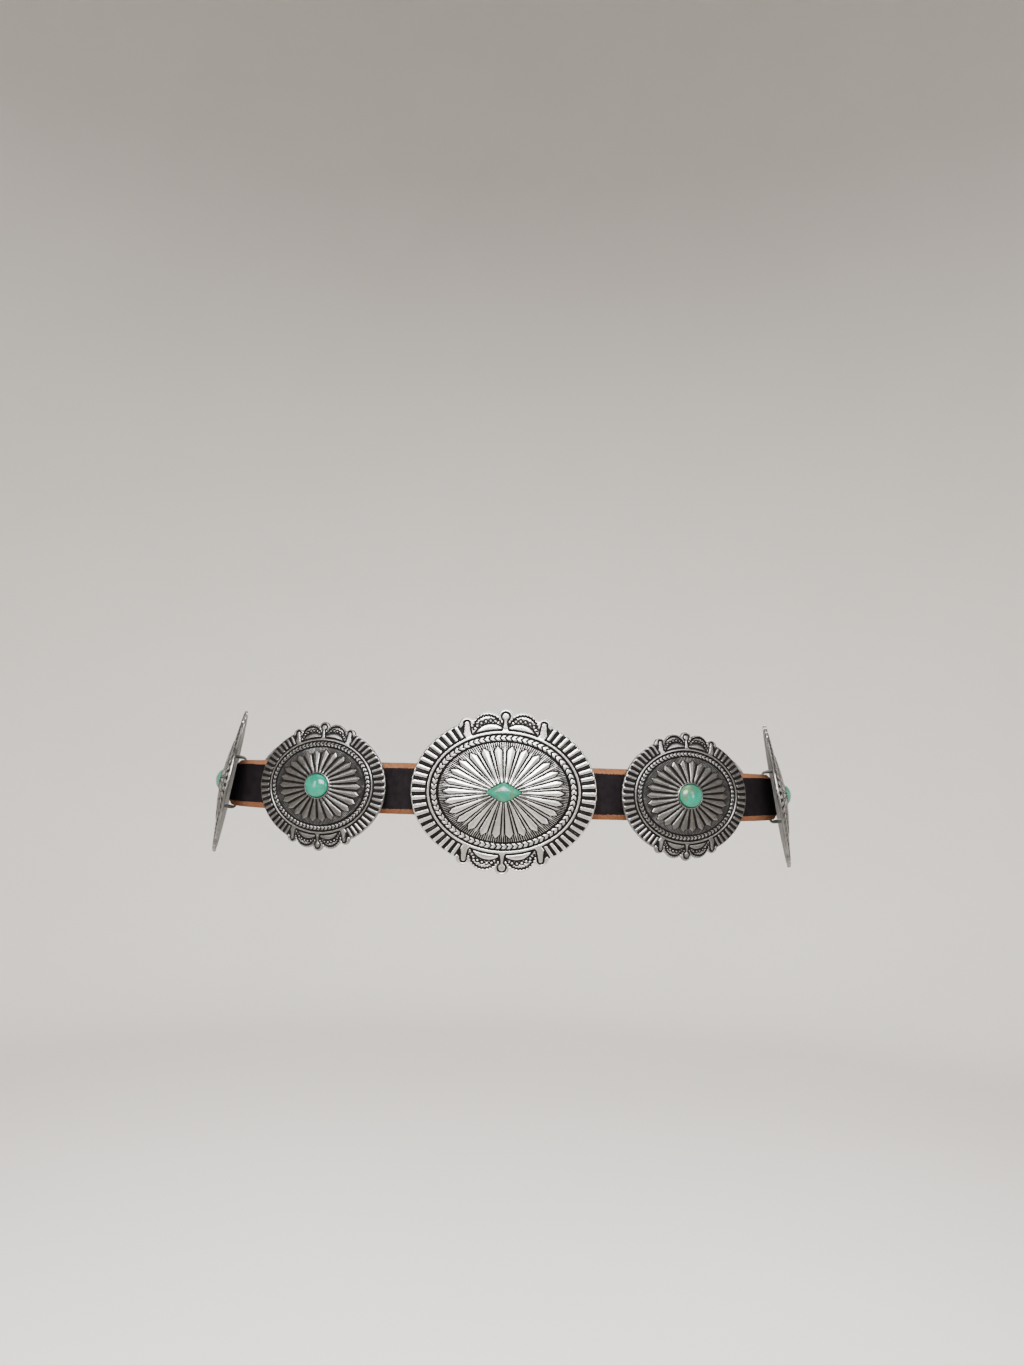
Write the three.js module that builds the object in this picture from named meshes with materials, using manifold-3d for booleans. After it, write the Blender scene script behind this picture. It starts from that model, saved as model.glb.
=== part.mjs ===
// A concho belt, closed as it is worn round a waist, in millimetres.
// A bevelled leather strap runs round the waist loop. Seven cast oval conchos are threaded on it, large
// and small in turn, each by a loop behind its dome and each with a turquoise cabochon in a seat at its
// crown. The strap's ends lap at the back, and one plain stud holds them.
// +Z is up and the front faces -Y. The origin is the middle of the waist loop at half the strap's height.
import * as THREE from "three";
import { mergeVertices } from "three/addons/utils/BufferGeometryUtils.js";
import Module from "manifold-3d";

const wasm = await Module();
wasm.setup();

// The waist loop, measured to the middle of the strap's thickness.
const WAIST_HALF_WIDTH = 152;
const WAIST_HALF_DEPTH = 98;
const WAIST_SQUARENESS = 2.2; // 2 is an ellipse, and more is fuller at the corners
// How far the strap faces upwards, in degrees: at the sides it lies on the flare of the hip.
const FRONT_CANT = -3;
const SIDE_CANT = 10.5;

// The strap.
const STRAP_WIDTH = 25;
const STRAP_THICKNESS = 3;
const BEVEL_WIDTH = 2.5;
const BEVEL_DEPTH = 1.9;
const LAP_LENGTH = 64;
const LAP_RAMP = 36; // where the outer end climbs over the inner one
const LAP_GAP = 0.3;
const TIP_LENGTH = 11; // the rounded stretch at each end
const TIP_SECTIONS = [0, 0.04, 0.18, 0.48]; // shares of the tip's length from the very end
const TIP_LEAST_WIDTH = 0.12; // share of the strap's width at the very end
const STRAP_STEP = 8.5; // the longest step between sections

// The stud that closes the lap.
const STUD_SHANK_RADIUS = 2;
const STUD_FLANGE_RADIUS = 5;
const STUD_FLANGE_THICKNESS = 1.2;
const STUD_HEAD_RADIUS = 4.2;
const STUD_HEAD_THICKNESS = 2.2;
const STUD_GAP = 0.3; // round the shank, and between the leather and the flange and head
const STUD_SIDES = 14;
const STUD_HEAD_STEPS = 3; // facets of its dome

// The conchos, threaded at equal steps from the front. The edge and crown are the casting's thickness
// there, and the relief is how far its pattern stands up.
const LARGE_CONCHO = { width: 90, height: 80, rise: 5.3, edge: 1.2, crown: 2.2, relief: 0.8 };
const SMALL_CONCHO = { width: 72, height: 64, rise: 4.4, edge: 1.2, crown: 2.2, relief: 0.65 };
const CONCHO_SPACING = 10; // along the strap, from rim to rim
const CONCHO_STEP = (LARGE_CONCHO.width + SMALL_CONCHO.width) / 2 + CONCHO_SPACING;
const CONCHOS = [
  { name: "left_3", step: -3, size: SMALL_CONCHO, stone: "round" },
  { name: "left_2", step: -2, size: LARGE_CONCHO, stone: "lozenge" },
  { name: "left_1", step: -1, size: SMALL_CONCHO, stone: "round" },
  { name: "front", step: 0, size: LARGE_CONCHO, stone: "lozenge" },
  { name: "right_1", step: 1, size: SMALL_CONCHO, stone: "round" },
  { name: "right_2", step: 2, size: LARGE_CONCHO, stone: "lozenge" },
  { name: "right_3", step: 3, size: SMALL_CONCHO, stone: "round" },
];

// The strap loop behind each concho.
const LOOP_GAP = 0.5; // to each side of the strap
const LOOP_WIDTH = 10; // along the strap
const LOOP_POST = 2;
const LOOP_BAR = 1.4;
const LOOP_ROOT = 0.6; // how far the posts run into the casting

// The stones. The exponent shapes the outline: 2 is an ellipse, and near 1 a lozenge.
const STONES = {
  lozenge: { width: 17.2, height: 9.8, stand: 2.6, exponent: 1.25, shoulder: 0.8 },
  round: { width: 12.8, height: 11.4, stand: 3.5, exponent: 2, shoulder: 0.9 },
};
const STONE_SEAT_DEPTH = 1;
const STONE_GAP = 0.3;
const STONE_SIDES = 16;

// Rings of a stone from the top down. Share is of its outline, drawn in to its shoulder where that says so,
// and stand and buried are shares of its heights over the seat and inside it.
const STONE_ROWS = [
  { share: 0.6, onShoulder: true, stand: 0.86, buried: 1 },
  { share: 1, onShoulder: true, stand: 0.5, buried: 1 },
  { share: 1, onShoulder: false, stand: 0.12, buried: 1 },
  { share: 1, onShoulder: false, stand: 0, buried: 0 },
];

// The cast pattern of a concho.
const PETALS = 26;
const PETAL_ROOT_MARGIN = 1.5; // from the stone's seat to the roots of the petals
const BARS_PER_SIDE = 22;

// Lobes of the outline over the top and the bottom, anticlockwise. Each spans so many degrees, and stands
// over the rim's ellipse by the low share of its size at its ends and by the high share in its middle.
const LOBES = [
  { span: 9.2, low: 0, high: 0.04, points: 3 },
  { span: 15.6, low: 0.012, high: 0.056, points: 4 },
  { span: 9.4, low: 0.02, high: 0.084, points: 4 },
  { span: 15.6, low: 0.012, high: 0.056, points: 4 },
  { span: 9.2, low: 0, high: 0.04, points: 3 },
];
const LOBE_PEAK = Math.max(...LOBES.map((lobe) => lobe.high));
const LOBES_SPAN = LOBES.reduce((sum, lobe) => sum + lobe.span, 0);
const LOBE_RAISED = 0.6; // share of the relief
const BARS_END = 90 - LOBES_SPAN / 2; // degrees from the long axis to the last bar
const SIDE_OUTLINE_STEPS = 12;

// Rings of the front face from the petals outwards. Across and up are shares of the rim's half sizes,
// lift is a share of the dome's rise, and ridge and valley are the shares of the relief that stand on the
// petals' middles and between them.
const PETAL_ROOT = { lift: 0.86, ridge: 0.3, valley: 0 };
const FACE_RINGS = [
  { name: "petal shoulder", across: 0.587, up: 0.53, lift: 0.45, ridge: 1, valley: 0 },
  { name: "petal tip", across: 0.653, up: 0.589, lift: 0.38, ridge: 0, valley: 0 },
  { name: "band inner foot", across: 0.712, up: 0.655, lift: 0.31, ridge: 0, valley: 0 },
  { name: "band crest", across: 0.775, up: 0.715, lift: 0.24, ridge: 1, valley: 1 },
  { name: "band outer foot", across: 0.838, up: 0.775, lift: 0.17, ridge: 0, valley: 0 },
];
const BARS_OUTER = 0.965; // share of the outline where the bars end
const EDGE_DROP = 0.45; // how far the outline's edge lies behind the rim's face
const BACK_RINGS = [
  { share: 0.8, points: 32 },
  { share: 0.45, points: 20 },
];
const DOME_POWER = 1.2; // 1 is a cone, and more is rounder

const SILVER = new THREE.MeshStandardMaterial({ color: 0x97938f, roughness: 0.34, metalness: 1 });
const LEATHER = new THREE.MeshStandardMaterial({ color: 0x2b2629, roughness: 0.62, metalness: 0 });
const TURQUOISE = new THREE.MeshStandardMaterial({ color: 0x48b394, roughness: 0.28, metalness: 0 });

const TURN = 2 * Math.PI;

// The waist as a closed curve of equal powers, (x / a)^n + (y / b)^n = 1, from the front round by +X.
class WaistCurve extends THREE.Curve {
  constructor() {
    super();
    this.arcLengthDivisions = 1200;
  }
  getPoint(t, target = new THREE.Vector3()) {
    const x = Math.sin(TURN * t);
    const y = -Math.cos(TURN * t);
    const n = WAIST_SQUARENESS;
    const size = (Math.abs(x / WAIST_HALF_WIDTH) ** n + Math.abs(y / WAIST_HALF_DEPTH) ** n) ** (-1 / n);
    return target.set(x * size, y * size, 0);
  }
}
const waist = new WaistCurve();
const WAIST_LENGTH = waist.getLength();

// The place on the waist at a distance along it from the front, as a matrix whose X runs along the strap,
// Y up its face and Z out of it.
function stationAt(distance, offset = 0) {
  const share = THREE.MathUtils.euclideanModulo(distance / WAIST_LENGTH, 1);
  const point = waist.getPointAt(share);
  const n = WAIST_SQUARENESS - 1;
  const outwards = new THREE.Vector3(
    (Math.sign(point.x) * Math.abs(point.x / WAIST_HALF_WIDTH) ** n) / WAIST_HALF_WIDTH,
    (Math.sign(point.y) * Math.abs(point.y / WAIST_HALF_DEPTH) ** n) / WAIST_HALF_DEPTH,
    0,
  ).normalize();
  const along = new THREE.Vector3(-outwards.y, outwards.x, 0);
  const cant = THREE.MathUtils.lerp(FRONT_CANT, SIDE_CANT, (point.x / WAIST_HALF_WIDTH) ** 2);
  const facing = outwards.clone().applyAxisAngle(along, -THREE.MathUtils.degToRad(cant));
  const up = new THREE.Vector3().crossVectors(facing, along);
  return new THREE.Matrix4().makeBasis(along, up, facing).setPosition(point.addScaledVector(facing, offset));
}

// Rings of points joined in order into one closed skin. Each ring is a list of { turn, point }, with the
// turns rising from 0 to 1, and the rings may differ in count: each step goes to the nearer next turn.
function skin(start, rings, end) {
  const positions = [];
  const index = [];
  const add = (point) => positions.push(point.x, point.y, point.z) / 3 - 1;
  const rows = rings.map((ring) => ring.map(({ turn, point }) => ({ turn, id: add(point) })));
  const next = (row, i) => row[i % row.length];
  const turnOf = (row, i) => next(row, i).turn + Math.floor(i / row.length);
  for (let r = 0; r + 1 < rows.length; r += 1) {
    const [inner, outer] = [rows[r], rows[r + 1]];
    let i = 0;
    let j = 0;
    while (i < inner.length || j < outer.length) {
      const stepOuter = i === inner.length || (j < outer.length && turnOf(outer, j + 1) <= turnOf(inner, i + 1));
      const [a, b] = [next(inner, i).id, next(outer, j).id];
      if (stepOuter) {
        index.push(a, b, next(outer, j + 1).id);
        j += 1;
      } else {
        index.push(a, b, next(inner, i + 1).id);
        i += 1;
      }
    }
  }
  const first = rows[0];
  const last = rows[rows.length - 1];
  const startId = add(start);
  first.forEach(({ id }, i) => index.push(startId, id, next(first, i + 1).id));
  const endId = add(end);
  last.forEach(({ id }, i) => index.push(id, endId, next(last, i + 1).id));
  return new THREE.BufferGeometry()
    .setAttribute("position", new THREE.Float32BufferAttribute(positions, 3))
    .setIndex(index);
}

// A ring of evenly spaced points, each worked out from its turn and its number.
function evenRing(count, pointAt) {
  return Array.from({ length: count }, (_, i) => ({ turn: i / count, point: pointAt(i / count, i) }));
}

function solidOf(geometry) {
  const bare = geometry.clone();
  bare.deleteAttribute("normal");
  bare.deleteAttribute("uv");
  const merged = mergeVertices(bare, 1e-4);
  return new wasm.Manifold(
    new wasm.Mesh({
      numProp: 3,
      vertProperties: merged.attributes.position.array,
      triVerts: new Uint32Array(merged.index.array),
    }),
  );
}

function geometryOf(solid) {
  const mesh = solid.getMesh();
  const geometry = new THREE.BufferGeometry()
    .setAttribute("position", new THREE.Float32BufferAttribute(mesh.vertProperties, 3))
    .setIndex(new THREE.Uint32BufferAttribute(mesh.triVerts, 1))
    .toNonIndexed();
  geometry.computeVertexNormals();
  return geometry;
}

// The strap's section at a share of its full width, as heights up its face and out of it.
function strapSection(widthShare) {
  const half = (STRAP_WIDTH / 2) * widthShare;
  const back = -STRAP_THICKNESS / 2;
  const front = STRAP_THICKNESS / 2;
  const face = Math.max(half - BEVEL_WIDTH, half / 2); // on a narrow tip the bevels take half the width
  return [
    [-half, back],
    [-half, front - BEVEL_DEPTH],
    [-face, front],
    [face, front],
    [half, front - BEVEL_DEPTH],
    [half, back],
  ];
}

// Distances along the strap where it has a section, closer together on its rounded ends.
function strapDistances() {
  const reach = (WAIST_LENGTH + LAP_LENGTH) / 2;
  const tip = TIP_SECTIONS.map((share) => TIP_LENGTH * share);
  const plain = reach - TIP_LENGTH;
  const steps = Math.ceil((2 * plain) / STRAP_STEP);
  return [
    ...tip.map((d) => -reach + d),
    ...Array.from({ length: steps + 1 }, (_, i) => -plain + (2 * plain * i) / steps),
    ...tip.map((d) => reach - d).reverse(),
  ];
}

// The width share at a distance: 1 along the strap, falling on a quarter ellipse at each rounded end.
function strapWidthShare(distance) {
  const fromEnd = (WAIST_LENGTH + LAP_LENGTH) / 2 - Math.abs(distance);
  const into = THREE.MathUtils.clamp(1 - fromEnd / TIP_LENGTH, 0, 1);
  return Math.max(Math.sqrt(1 - into * into), TIP_LEAST_WIDTH);
}

// How far the strap's outer end stands out, to lie over the inner one.
function lapOffset(distance) {
  const lapStart = (WAIST_LENGTH - LAP_LENGTH) / 2;
  return (STRAP_THICKNESS + LAP_GAP) * THREE.MathUtils.smoothstep(distance, lapStart - LAP_RAMP, lapStart);
}

function strapGeometry() {
  const centres = [];
  const rings = strapDistances().map((distance) => {
    const station = stationAt(distance, lapOffset(distance));
    centres.push(new THREE.Vector3().applyMatrix4(station));
    const section = strapSection(strapWidthShare(distance));
    return section.map(([up, out], i) => ({
      turn: i / section.length,
      point: new THREE.Vector3(0, up, out).applyMatrix4(station),
    }));
  });
  const blank = solidOf(skin(centres[0], rings, centres[centres.length - 1]));
  return geometryOf(blank.subtract(solidOf(studHole())));
}

// A plain drill through both ends of the strap, along the stud.
function studHole() {
  const radius = STUD_SHANK_RADIUS + STUD_GAP;
  const length = 8 * STRAP_THICKNESS; // well past both ends
  const hole = new THREE.CylinderGeometry(radius, radius, length, STUD_SIDES);
  return hole.rotateX(Math.PI / 2).applyMatrix4(stationAt(WAIST_LENGTH / 2));
}

// The stud, turned about its own Z: a flange inside the lap, a shank through it and a domed head outside.
function studGeometry() {
  const flangeTop = -STRAP_THICKNESS / 2 - STUD_GAP;
  const headFoot = STRAP_THICKNESS / 2 + LAP_GAP + STRAP_THICKNESS + STUD_GAP;
  const profile = [
    [0, flangeTop - STUD_FLANGE_THICKNESS],
    [STUD_FLANGE_RADIUS, flangeTop - STUD_FLANGE_THICKNESS],
    [STUD_FLANGE_RADIUS, flangeTop],
    [STUD_SHANK_RADIUS, flangeTop],
    [STUD_SHANK_RADIUS, headFoot],
    [STUD_HEAD_RADIUS, headFoot],
  ];
  for (let i = 1; i <= STUD_HEAD_STEPS; i += 1) {
    const angle = (Math.PI / 2) * (i / STUD_HEAD_STEPS);
    const radius = i === STUD_HEAD_STEPS ? 0 : STUD_HEAD_RADIUS * Math.cos(angle);
    profile.push([radius, headFoot + STUD_HEAD_THICKNESS * Math.sin(angle)]);
  }
  const points = profile.map(([radius, height]) => new THREE.Vector2(radius, height));
  return new THREE.LatheGeometry(points, STUD_SIDES).rotateX(Math.PI / 2);
}

// A point at a turn of a closed outline of equal powers.
function outlinePoint(turn, halfWidth, halfHeight, exponent) {
  const c = Math.cos(TURN * turn);
  const s = Math.sin(TURN * turn);
  const size = (Math.abs(c) ** exponent + Math.abs(s) ** exponent) ** (-1 / exponent);
  return [c * size * halfWidth, s * size * halfHeight];
}

// How much larger a stone's seat is than the stone, so that the gap holds even along a lozenge's straight
// sides, which lie closest to the middle.
function seatScale(stone) {
  const [halfWidth, halfHeight] = [stone.width / 2, stone.height / 2];
  const straight = (halfWidth * halfHeight) / Math.hypot(halfWidth, halfHeight);
  return 1 + STONE_GAP / straight;
}

// A cabochon standing on its flat base at height 0: an upright girdle and a domed top.
function stoneGeometry(stone) {
  const buried = STONE_SEAT_DEPTH - STONE_GAP;
  const rings = STONE_ROWS.map((row) =>
    evenRing(STONE_SIDES, (turn) => {
      const share = row.share * (row.onShoulder ? stone.shoulder : 1);
      const [x, y] = outlinePoint(turn, (stone.width / 2) * share, (stone.height / 2) * share, stone.exponent);
      return new THREE.Vector3(x, y, buried * row.buried + stone.stand * row.stand);
    }),
  );
  const base = new THREE.Vector3(0, 0, 0);
  const top = new THREE.Vector3(0, 0, buried + stone.stand);
  return skin(top, rings, base);
}

// The rim's half sizes, without the lobes that stand over it.
function rimOf(size) {
  return [size.width / 2, size.height / 2 / (1 + LOBE_PEAK)];
}

// How far the outline stands at an angle, as a share of the rim's ellipse: 1 along the bars, and more on
// the lobes, each an arch on its own base.
function outlineShare(degrees) {
  let from = BARS_END;
  for (const { span, low, high } of LOBES) {
    const across = (2 * ((degrees % 180) - from)) / span - 1;
    if (Math.abs(across) <= 1) return 1 + low + (high - low) * Math.sqrt(1 - across * across);
    from += span;
  }
  return 1;
}

// Angles inside the stretch of lobes: each lobe's start and the points along it.
function lobeAngles() {
  let from = BARS_END;
  const angles = LOBES.flatMap(({ span, points }) => {
    const start = from;
    from += span;
    return Array.from({ length: points }, (_, i) => start + (span * i) / points);
  });
  return angles.slice(1);
}

// One ring's angles and heights from those of the right side and the top, repeated at the left and bottom.
function aroundFrom(side, top) {
  return [0, 180]
    .flatMap((shift) => [...side, ...top].map(({ angle, raised }) => ({ angle: angle + shift, raised })))
    .map(({ angle, raised }) => ({ angle: THREE.MathUtils.euclideanModulo(angle, 360), raised }))
    .sort((a, b) => a.angle - b.angle);
}

// Even steps of angle over one side, with every other one raised if a height is given.
function sideAngles(steps, raised) {
  return Array.from({ length: steps + 1 }, (_, i) => ({
    angle: BARS_END * ((2 * i) / steps - 1),
    raised: raised * (i % 2),
  }));
}

// The ring of bar ridges and valleys, which runs on over the lobes.
function barAngles() {
  const top = lobeAngles().map((angle) => ({ angle, raised: LOBE_RAISED }));
  return aroundFrom(sideAngles(BARS_PER_SIDE * 2, 1), top);
}

// The corners of the outline.
function outlineAngles() {
  const top = lobeAngles().map((angle) => ({ angle, raised: 0 }));
  return aroundFrom(sideAngles(SIDE_OUTLINE_STEPS, 0), top);
}

// A concho in its own frame: X along the strap, Y up and Z out of its face, with Z 0 at the middle of the
// strap's thickness. The skin runs from the seat for the stone over the face to the edge, and back under
// the hollow dome.
function conchoGeometry(size, stone) {
  const [halfWidth, halfHeight] = rimOf(size);
  const rimBack = STRAP_THICKNESS / 2 + LOOP_GAP;
  const rimFront = rimBack + size.edge;
  const crownFront = rimFront + size.rise;
  const at = (degrees, share, height) => {
    const angle = THREE.MathUtils.degToRad(degrees);
    return new THREE.Vector3(halfWidth * share * Math.cos(angle), halfHeight * share * Math.sin(angle), height);
  };

  const scale = seatScale(stone);
  const seatRing = (height) =>
    evenRing(STONE_SIDES, (turn) => {
      const [x, y] = outlinePoint(turn, (stone.width / 2) * scale, (stone.height / 2) * scale, stone.exponent);
      return new THREE.Vector3(x, y, height);
    });
  const petalRing = (ringHalfWidth, ringHalfHeight, { lift, ridge, valley }) =>
    evenRing(PETALS * 2, (turn, i) => {
      const raised = i % 2 === 0 ? ridge : valley;
      const height = rimFront + size.rise * lift + size.relief * raised;
      return new THREE.Vector3(
        ringHalfWidth * Math.cos(TURN * turn),
        ringHalfHeight * Math.sin(TURN * turn),
        height,
      );
    });
  const rootRing = petalRing(
    (stone.width / 2) * scale + PETAL_ROOT_MARGIN,
    (stone.height / 2) * scale + PETAL_ROOT_MARGIN,
    PETAL_ROOT,
  );
  const faceRings = FACE_RINGS.map((ring) => petalRing(halfWidth * ring.across, halfHeight * ring.up, ring));
  const barRing = barAngles().map(({ angle, raised }) => ({
    turn: angle / 360,
    point: at(angle, BARS_OUTER * outlineShare(angle), rimFront + size.relief * raised),
  }));
  const edgeRing = (height) =>
    outlineAngles().map(({ angle }) => ({ turn: angle / 360, point: at(angle, outlineShare(angle), height) }));
  const domeBack = (share) =>
    rimBack + (size.rise + size.edge - size.crown) * (1 - share ** DOME_POWER);
  const backRings = BACK_RINGS.map(({ share, points }) =>
    evenRing(points, (turn) => at(360 * turn, share, domeBack(share))),
  );

  const shell = skin(
    new THREE.Vector3(0, 0, crownFront - STONE_SEAT_DEPTH),
    [
      seatRing(crownFront - STONE_SEAT_DEPTH),
      seatRing(crownFront),
      rootRing,
      ...faceRings,
      barRing,
      edgeRing(rimFront - EDGE_DROP),
      edgeRing(rimBack),
      ...backRings,
    ],
    new THREE.Vector3(0, 0, domeBack(0)),
  );
  const postShare = (STRAP_WIDTH / 2 + LOOP_GAP + LOOP_POST / 2) / halfHeight;
  const loopTop = domeBack(postShare) + LOOP_ROOT;
  return geometryOf(solidOf(shell).add(solidOf(strapLoop(loopTop))));
}

// The loop that the strap passes through: two posts and a bar, as one U-shaped outline carried along X.
function strapLoop(top) {
  const inner = STRAP_WIDTH / 2 + LOOP_GAP;
  const outer = inner + LOOP_POST;
  const barTop = -STRAP_THICKNESS / 2 - LOOP_GAP;
  const corners = [
    [-outer, top],
    [-outer, barTop - LOOP_BAR],
    [outer, barTop - LOOP_BAR],
    [outer, top],
    [inner, top],
    [inner, barTop],
    [-inner, barTop],
    [-inner, top],
  ].map(([up, out]) => new THREE.Vector2(up, out));
  const outline = new THREE.Shape(corners);
  const bent = new THREE.ExtrudeGeometry(outline, { depth: LOOP_WIDTH, bevelEnabled: false });
  // The outline's X and Y become the concho's Y and Z, and its depth the concho's X.
  const turned = new THREE.Matrix4().makeBasis(
    new THREE.Vector3(0, 1, 0),
    new THREE.Vector3(0, 0, 1),
    new THREE.Vector3(1, 0, 0),
  );
  return bent.translate(0, 0, -LOOP_WIDTH / 2).applyMatrix4(turned);
}

// A named mesh placed by a matrix.
function placed(name, geometry, material, matrix = new THREE.Matrix4()) {
  const mesh = new THREE.Mesh(geometry, material);
  mesh.name = name;
  matrix.decompose(mesh.position, mesh.quaternion, mesh.scale);
  return mesh;
}

const belt = new THREE.Group();
belt.name = "concho_belt";
belt.add(placed("strap", strapGeometry(), LEATHER));
belt.add(placed("closing_stud", studGeometry(), SILVER, stationAt(WAIST_LENGTH / 2)));

for (const { name, step, size, stone } of CONCHOS) {
  const station = stationAt(step * CONCHO_STEP);
  const cut = STONES[stone];
  belt.add(placed(`concho_${name}`, conchoGeometry(size, cut), SILVER, station));
  const crown = STRAP_THICKNESS / 2 + LOOP_GAP + size.edge + size.rise;
  const seat = new THREE.Matrix4().makeTranslation(0, 0, crown - STONE_SEAT_DEPTH + STONE_GAP);
  belt.add(placed(`stone_${name}`, stoneGeometry(cut), TURQUOISE, station.clone().multiply(seat)));
}

export default belt;
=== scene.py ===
"""A concho belt: seven domed castings with turquoise cabochons on a black leather strap with raw edges."""

from math import pi, radians

import bpy
import numpy as np
from bpy.props import FloatProperty, FloatVectorProperty, IntProperty, PointerProperty
from bpy.types import Operator, Panel, PropertyGroup
from mathutils import Matrix, Vector


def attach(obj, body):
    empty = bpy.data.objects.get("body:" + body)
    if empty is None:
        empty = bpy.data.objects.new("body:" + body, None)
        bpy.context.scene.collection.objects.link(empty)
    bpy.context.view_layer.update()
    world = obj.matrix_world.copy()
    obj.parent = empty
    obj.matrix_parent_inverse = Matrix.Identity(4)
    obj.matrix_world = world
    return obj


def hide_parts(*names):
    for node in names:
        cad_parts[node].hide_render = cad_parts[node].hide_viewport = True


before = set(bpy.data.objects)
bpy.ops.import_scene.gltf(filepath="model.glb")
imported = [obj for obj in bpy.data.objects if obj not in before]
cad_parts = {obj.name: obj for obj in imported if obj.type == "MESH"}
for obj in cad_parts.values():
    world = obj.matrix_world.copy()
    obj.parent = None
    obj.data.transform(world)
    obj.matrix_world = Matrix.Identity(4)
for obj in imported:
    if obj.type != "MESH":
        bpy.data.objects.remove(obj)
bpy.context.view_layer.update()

bl_info = {
    "name": "Concho belt",
    "version": (1, 0, 0),
    "blender": (4, 5, 0),
    "location": "3D View > Sidebar > Concho Belt",
    "description": "Builds a closed concho belt and the plain stage it is shown on",
    "category": "Add Mesh",
}

BODY = "root"
MM = 0.001

# The conchos in their order along the strap, in steps from the front one.
CONCHOS = (
    {"name": "left_3", "step": -3, "size": "small"},
    {"name": "left_2", "step": -2, "size": "large"},
    {"name": "left_1", "step": -1, "size": "small"},
    {"name": "front", "step": 0, "size": "large"},
    {"name": "right_1", "step": 1, "size": "small"},
    {"name": "right_2", "step": 2, "size": "large"},
    {"name": "right_3", "step": 3, "size": "small"},
)

# Sizes in millimetres of the two castings. The edge and crown are the casting's thickness there, and the
# relief is how far its pattern stands up. The half widths of a petal, at its root and its shoulder, and of
# a fine ray are shares of the pitch from one to the next. The columns are the mesh's for each petal.
CASTINGS = {
    "large": {
        "width": 90, "height": 80, "rise": 5.3, "edge": 1.2, "crown": 2.2, "relief": 0.8,
        "ribbed": True, "petal_root": 0.25, "petal_shoulder": 0.3, "ray": 0.24, "columns": 28,
    },
    "small": {
        "width": 72, "height": 64, "rise": 4.4, "edge": 1.2, "crown": 2.2, "relief": 0.65,
        "ribbed": False, "petal_root": 0.3, "petal_shoulder": 0.37, "ray": 0.3, "columns": 21,
    },
}

# Sizes in millimetres of the two stones, and the powers of their outline and of their dome.
STONES = {
    "large": {"width": 17.2, "height": 9.8, "stand": 2.6, "corners": 1.12, "crown": 1.6},
    "small": {"width": 12.8, "height": 11.4, "stand": 3.5, "corners": 2.0, "crown": 2.0},
}

# How far the lobes stand over the rim's ellipse, as a share of its half height.
LOBE_PEAK = 0.084

# The pattern is drawn in millimetres for the large casting, whose rim is this ellipse, and the small one
# scales it.
DRAWN_RIM = np.array((45.0, 36.9))

# Ring by ring of the drawn face from the petals' shoulders outwards: half width and half height of its
# ellipse, and the share of the dome's rise it lies at.
RINGS = {
    "shoulders": {"across": 26.4, "up": 20.0, "lift": 0.45},
    "tips": {"across": 29.4, "up": 22.3, "lift": 0.385},
    "field edge": {"across": 31.5, "up": 24.0, "lift": 0.33},
    "braid inside": {"across": 32.4, "up": 24.6, "lift": 0.31},
    "braid outside": {"across": 35.1, "up": 27.4, "lift": 0.24},
    "ring inside": {"across": 35.9, "up": 28.1, "lift": 0.225},
    "ring outside": {"across": 37.1, "up": 29.4, "lift": 0.19},
}

# The same share of the rise at the outline, at the stone's seat and at the petals' roots, which lie a margin
# out from the seat.
OUTLINE_LIFT = 0.02
SEAT_LIFT = 1.0
ROOT_LIFT = 0.86
ROOT_MARGIN = 1.5

# The bright bezel of a stone in a small casting, and the dark groove round it.
BEZEL = 0.5
BEZEL_GROOVE = 0.3

# Between a petal's root at 0 and its tip at 1: its shoulder, the start of the fine rays, and where the
# petals' zone starts and ends.
PETALS = 26
PETAL_SHOULDER = 0.86
RAYS_START = 0.87
FIELD_START = -0.12
FIELD_END = 1.12
RAYS_PER_PETAL = 7

CHEVRONS = 72
CHEVRON_LINE = 0.26

# The half widths of a bar and of the thin rib in the recess beside it are shares of the pitch.
BARS_PER_SIDE = 21
BAR_PITCH = radians(5.13)
BAR_HALF = 0.275
BAR_RIB_HALF = 0.06

# Parts of the drawn outline over the top, mirrored left and right: centre and radius.
KEYHOLE = {"x": 0.0, "y": 36.4, "radius": 3.6}
LOBE = {"x": 8.4, "y": 30.6, "radius": 7.7}
FINGER = {"x": 18.9, "y": 31.8, "radius": 3.5}

# The toothed line in each lobe, the arc of its beads and the top of its crescent: centre and radius.
TOOTHED_LINE = {"x": 8.5, "y": 29.6, "radius": 6.95}
BEAD_ARC = {"x": 6.6, "y": 23.3, "radius": 10.8}
CRESCENT = {"x": 6.6, "y": 23.3, "radius": 9.4}
TEETH = 29
FIRST_BEAD = -1
LAST_BEAD = 3
BEAD_STEP = radians(12.5)
BEAD_SHIFT = radians(3.5)
BEAD_RADIUS = 0.9
TOOTH_HEIGHT = 0.34

# Widths and half widths of the black lines over the top and bottom.
KEYHOLE_LINE = 0.75
FINGER_LINE = 0.75
RING_LINE = 0.85
CRESCENT_LINE_HALF = 0.27
TOOTHED_LINE_HALF = 0.48
BEAD_LINE_HALF = 0.24

# Rows of the face's mesh between one ring and the next.
FACE_ROWS = (6, 12, 13, 6, 3, 12, 3, 5, 33)

# The casting's edge, row by row: how far in from the outline and how far down, for an edge 1.2 thick.
EDGE_ROWS = ((0.0, 0.3), (0.0, 0.65), (0.12, 0.95), (0.45, 1.15))
# Painted shade on the casting's side wall, row by row: recess values that darken it and partly blacken it,
# so the outline reads as a thin dark line.
EDGE_PAINTED_SHADE = (0.2, 0.33, 0.36, 0.36)
EDGE_DRAWN = 1.2

# The rows of the hollow back as shares of the outline, the power of its dome and its recess.
BACK_ROWS = (0.95, 0.85, 0.7, 0.52, 0.34, 0.16)
BACK_POWER = 1.2
BACK_RECESS = 0.25


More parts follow.
